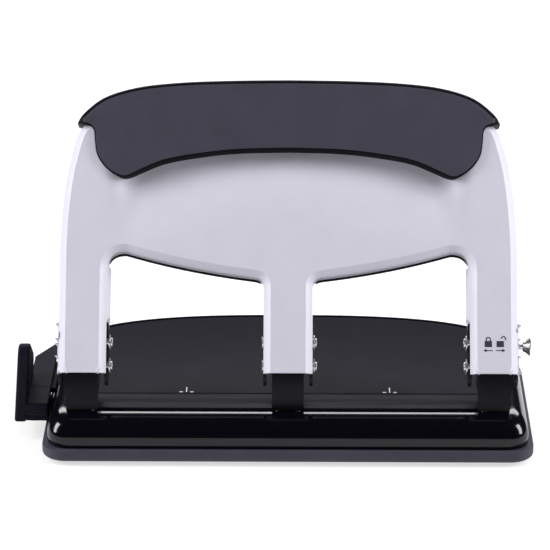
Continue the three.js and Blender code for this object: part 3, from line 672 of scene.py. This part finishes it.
def paper_guide():
    """Fin, shelf, leaf and arm, joined into one moulding with soft edges."""
    fin = [(34, FIN_FOOT), (66, FIN_FOOT), *bezier((66, FIN_FOOT), (73, FIN_FOOT), (73, 17), 8),
           (73, 24), *bezier((73, 24), (73, 33.5), (66, 37), 10),
           (44, 50.4), *bezier((44, 50.4), (41.5, 52), (39, 52), 6),
           *bezier((39, 52), (34, 52), (34, 46), 10)]
    shelf = box_outline(-140, GUIDE_INNER, 13.2, SHELF_TOP)
    leaf = [(-139.4, 56), (GUIDE_INNER, 56), (GUIDE_INNER, 118), (-139.0, 97)]
    gusset = [(-139.2, 9.4), (-139.2, 13.4), (-127.6, 13.4), (-127.6, 9.2),
              *bezier((-127.6, 9.2), (-131.5, 9.4), (-134.5, 9.2), 4)]
    arm = box_outline(-132, -88, 62, 98)
    riser = box_outline(-132, -127.6, 62, 98)

    def leaning(a, b, c):
        return place(c + (b - FIN_FOOT) * FIN_LEAN, a, b)

    def by_y(a, b, c):
        return place(a, c, b)

    def part(outline, start, end, to_world):
        return finish_mesh("guide_part", prism(outline, start, end, to_world), DECK)

    pieces = [bevelled(part(fin, -145.4, -139, leaning), 1.5, 5),
              bevelled(part(shelf, 34.2, 57.9, by_y), 0.8, 4),
              bevelled(part(leaf, 17.4, SHELF_TOP, place), 0.5, 3),
              part(gusset, 36, 60, by_y),
              bevelled(part(arm, 13.8, 16.6, place), 0.4, 2),
              part(riser, 15, 18, place)]
    mesh = bmesh.new()
    for piece in pieces:
        mesh.from_mesh(piece.data)
        bpy.data.objects.remove(piece)
    guide = finish_mesh("edge_guide", mesh, DECK, 40)
    return stands_for(guide, "guide", "deck_plastic", "paper_guide")


# Printed marks, which stand a hair's breadth off their faces
PRINT_GAP = 0.02


def thin_mark(name, outlines, to_world, thickness, material, body, slot):
    mesh = bmesh.new()
    for outline in outlines:
        part = prism(outline, 0, thickness, to_world)
        data = bpy.data.meshes.new("mark_part")
        part.to_mesh(data)
        part.free()
        mesh.from_mesh(data)
        bpy.data.meshes.remove(data)
    return stands_for(finish_mesh(name, mesh, material), body, slot)


def bar(cx, cy, width, height):
    return box_outline(cx - width / 2, cx + width / 2, cy - height / 2, cy + height / 2)


def centring_mark(name, x):
    """Three short strokes that show where a sheet's edge goes."""
    spread = 2.8
    strokes = [bar(0, 3.2, 0.6, 6.4), bar(-spread, 0.3, 1.8, 1.1), bar(spread, 0.3, 1.8, 1.1)]

    def on_deck(a, b, c):
        return place(x + a, DECK_FRONT + 1.2 + b, DECK_TOP + PRINT_GAP + c)

    return thin_mark(name, strokes, on_deck, 0.05, TICK, "base", "deck_plastic")


def padlock_marks():
    """A closed and an open padlock over two arrows, on the right leg."""
    up = 15.5
    centre = HOLE_SPACING

    def shackle(cx, lift, shift):
        """A ring open at the bottom. A lifted one has only its right leg."""
        outer = arc(cx + shift, up + 2.4 + lift, 1.35, 0, 180, 10)
        inner = arc(cx + shift, up + 2.4 + lift, 0.75, 180, 0, 10)
        right_leg = 0.8
        left_leg = 0.0 if lift else right_leg
        return [(outer[0][0], outer[0][1] - right_leg), *outer, (outer[-1][0], outer[-1][1] - left_leg),
                (inner[0][0], inner[0][1] - left_leg), *inner, (inner[-1][0], inner[-1][1] - right_leg)]

    def arrow(cx, side):
        tip = cx + side * 2.6
        return [bar(cx - side * 0.4, up - 3.4, 3.6, 0.45),
                [(tip, up - 3.4), (tip - side * 1.6, up - 2.5), (tip - side * 1.6, up - 4.3)]]

    def on_leg(a, b, c):
        return handle_place(a, b, -PRINT_GAP - c)

    closed_x, open_x = centre - 3.6, centre + 2.6
    outlines = [bar(closed_x, up, 3.8, 3.2), shackle(closed_x, 0, 0), bar(open_x, up, 3.8, 3.2),
                shackle(open_x, 0.5, 1.7), *arrow(closed_x, -1), *arrow(open_x, 1)]
    return thin_mark("padlock_marks", outlines, on_leg, 0.04, MARK, "handle", "black_metal")


def build():
    chip_pan()
    base_housing()
    paper_deck()
    handle_shell()
    handle_grip()
    paper_guide()
    lock_knob()
    refined("die_plate", "base", "black_metal", STRIP, 0.3, 2)
    for station in LEVER_X:
        side = -1 if station == "right" else 1
        refined(f"head_bracket_{station}", "base", "head_black", HEAD_BLACK_AND_HEM_SHADE, 0.45, 3)
        refined(f"lever_{station}", "handle", "black_metal", LEVER, 0.3, 2)
        for use in ("pivot", "drive"):
            cross_pin(f"{use}_pin_{station}_fine", use, station, side)
            refined(f"{use}_clip_{station}", "handle", "spring_steel", SCREW, 0.12, 1)
        return_spring(station)
        refined(f"punch_pin_{station}", f"punch_{station}", "tool_steel", TOOL_STEEL, 0.15, 1)
        refined(f"spring_clip_{station}", f"punch_{station}", "spring_steel", SCREW, 0.12, 1)
        refined(f"die_bush_{station}", "base", "tool_steel", TOOL_STEEL, 0.2, 1)
        refined(f"lever_screw_{station}", "handle", "screw_steel", SCREW, 0.15, 1)
        for i in (1, 2):
            refined(f"head_screw_{station}_{i}", "base", "screw_steel", SCREW, 0.15, 1)
    for i in (1, 2, 3):
        refined(f"grip_screw_{i}", "handle", "screw_steel", SCREW, 0.25, 2)
    for corner in ("front_left", "front_right", "rear_left", "rear_right"):
        refined(f"foot_{corner}", "pan", "rubber", RUBBER, 0.2, 2)
    centring_mark("deck_mark_left", -HOLE_SPACING / 2)
    centring_mark("deck_mark_right", HOLE_SPACING / 2)
    padlock_marks()


# Stage
def area_light(name, position, target, width, energy, length, along=(0, 0, 1)):
    """A rectangular light facing a target, its length turned as nearly as it can be along a direction."""
    light = bpy.data.lights.new(name, "AREA")
    light.shape = "RECTANGLE"
    light.size = width
    light.size_y = length
    light.energy = energy
    obj = bpy.data.objects.new(name, light)
    away = (position - target).normalized()
    side = Vector(along).cross(away).normalized()
    turn = Matrix((side, away.cross(side), away)).transposed().to_4x4()
    obj.matrix_world = Matrix.Translation(position) @ turn
    bpy.context.scene.collection.objects.link(obj)
    return obj


def stage():
    mesh = bmesh.new()
    bmesh.ops.create_grid(mesh, x_segments=1, y_segments=1, size=6)
    white = node_material("white_floor", (0.42, 0.42, 0.43), 0.95, 0, (2.0, 0.02), 0.01, 0.02, 0.1)
    glow = white.node_tree.nodes["Principled BSDF"].inputs
    glow["Emission Color"].default_value = (1, 1, 1, 1)
    glow["Emission Strength"].default_value = 0.62
    floor = finish_mesh("floor", mesh, white)
    world = bpy.data.worlds.new("studio")
    bpy.context.scene.world = world
    world.use_nodes = True
    nodes, links = world.node_tree.nodes, world.node_tree.links
    path = nodes.new("ShaderNodeLightPath")
    output = nodes["World Output"]

    def background(strength, colour):
        shader = nodes.new("ShaderNodeBackground")
        shader.inputs["Color"].default_value = (*colour, 1)
        shader.inputs["Strength"].default_value = strength
        return shader.outputs["Background"]

    def blend(factor, first, second):
        mix = nodes.new("ShaderNodeMixShader")
        links.new(path.outputs[factor], mix.inputs["Fac"])
        links.new(first, mix.inputs[1])
        links.new(second, mix.inputs[2])
        return mix.outputs["Shader"]

    soft = background(0.26, (0.95, 0.95, 1.0))
    reflected = background(0.035, (0.9, 0.9, 1.0))
    seen = background(1.0, (1, 1, 1))
    links.new(blend("Is Camera Ray", blend("Is Glossy Ray", soft, reflected), seen), output.inputs["Surface"])
    middle = place(0, 60, 80)
    unseen = [area_light("top_key", place(0, -300, 1300), middle, 1.2, 2.4, 0.8),
              area_light("front_fill", place(0, -1500, 500), middle, 1.2, 1.6, 0.5),
              area_light("left_low", place(-1100, -60, 160), middle, 0.5, 0.9, 0.8),
              area_light("right_low", place(1100, -60, 160), middle, 0.5, 0.9, 0.8)]
    for light in unseen:
        light.visible_glossy = False
    area_light("left_softbox", place(-1048, 20, 660), middle, 0.3, 13.5, 0.85, (0.47, 0.56, 0.68))
    area_light("right_softbox", place(1048, 20, 660), middle, 0.3, 13.5, 0.85, (-0.47, 0.56, 0.68))
    area_light("top_line_strip", place(0, 1150, 780), middle, 1.6, 9.5, 0.26)


# The camera stands a little right of centre and looks down on the front.
CAMERA = {"elevation": 22.065, "yaw": 0.475, "distance": 1589.0, "target": (-7.09, 60.0, 83.5)}
SENSOR, LENS = 36.0, 196.3636


def camera():
    elevation, yaw = math.radians(CAMERA["elevation"]), math.radians(CAMERA["yaw"])
    target = place(*CAMERA["target"])
    level = Vector((math.sin(yaw), -math.cos(yaw), 0))
    direction = level * math.cos(elevation) + Vector((0, 0, math.sin(elevation)))
    data = bpy.data.cameras.new("camera")
    data.sensor_width = SENSOR
    data.lens = LENS
    data.clip_end = 20
    obj = bpy.data.objects.new("camera", data)
    obj.location = target + direction * CAMERA["distance"] * MM
    obj.rotation_euler = (-direction).to_track_quat("-Z", "Y").to_euler()
    bpy.context.scene.collection.objects.link(obj)
    bpy.context.scene.camera = obj


bpy.context.scene.view_settings.view_transform = "Standard"
camera()
stage()
build()
bpy.context.view_layer.update()
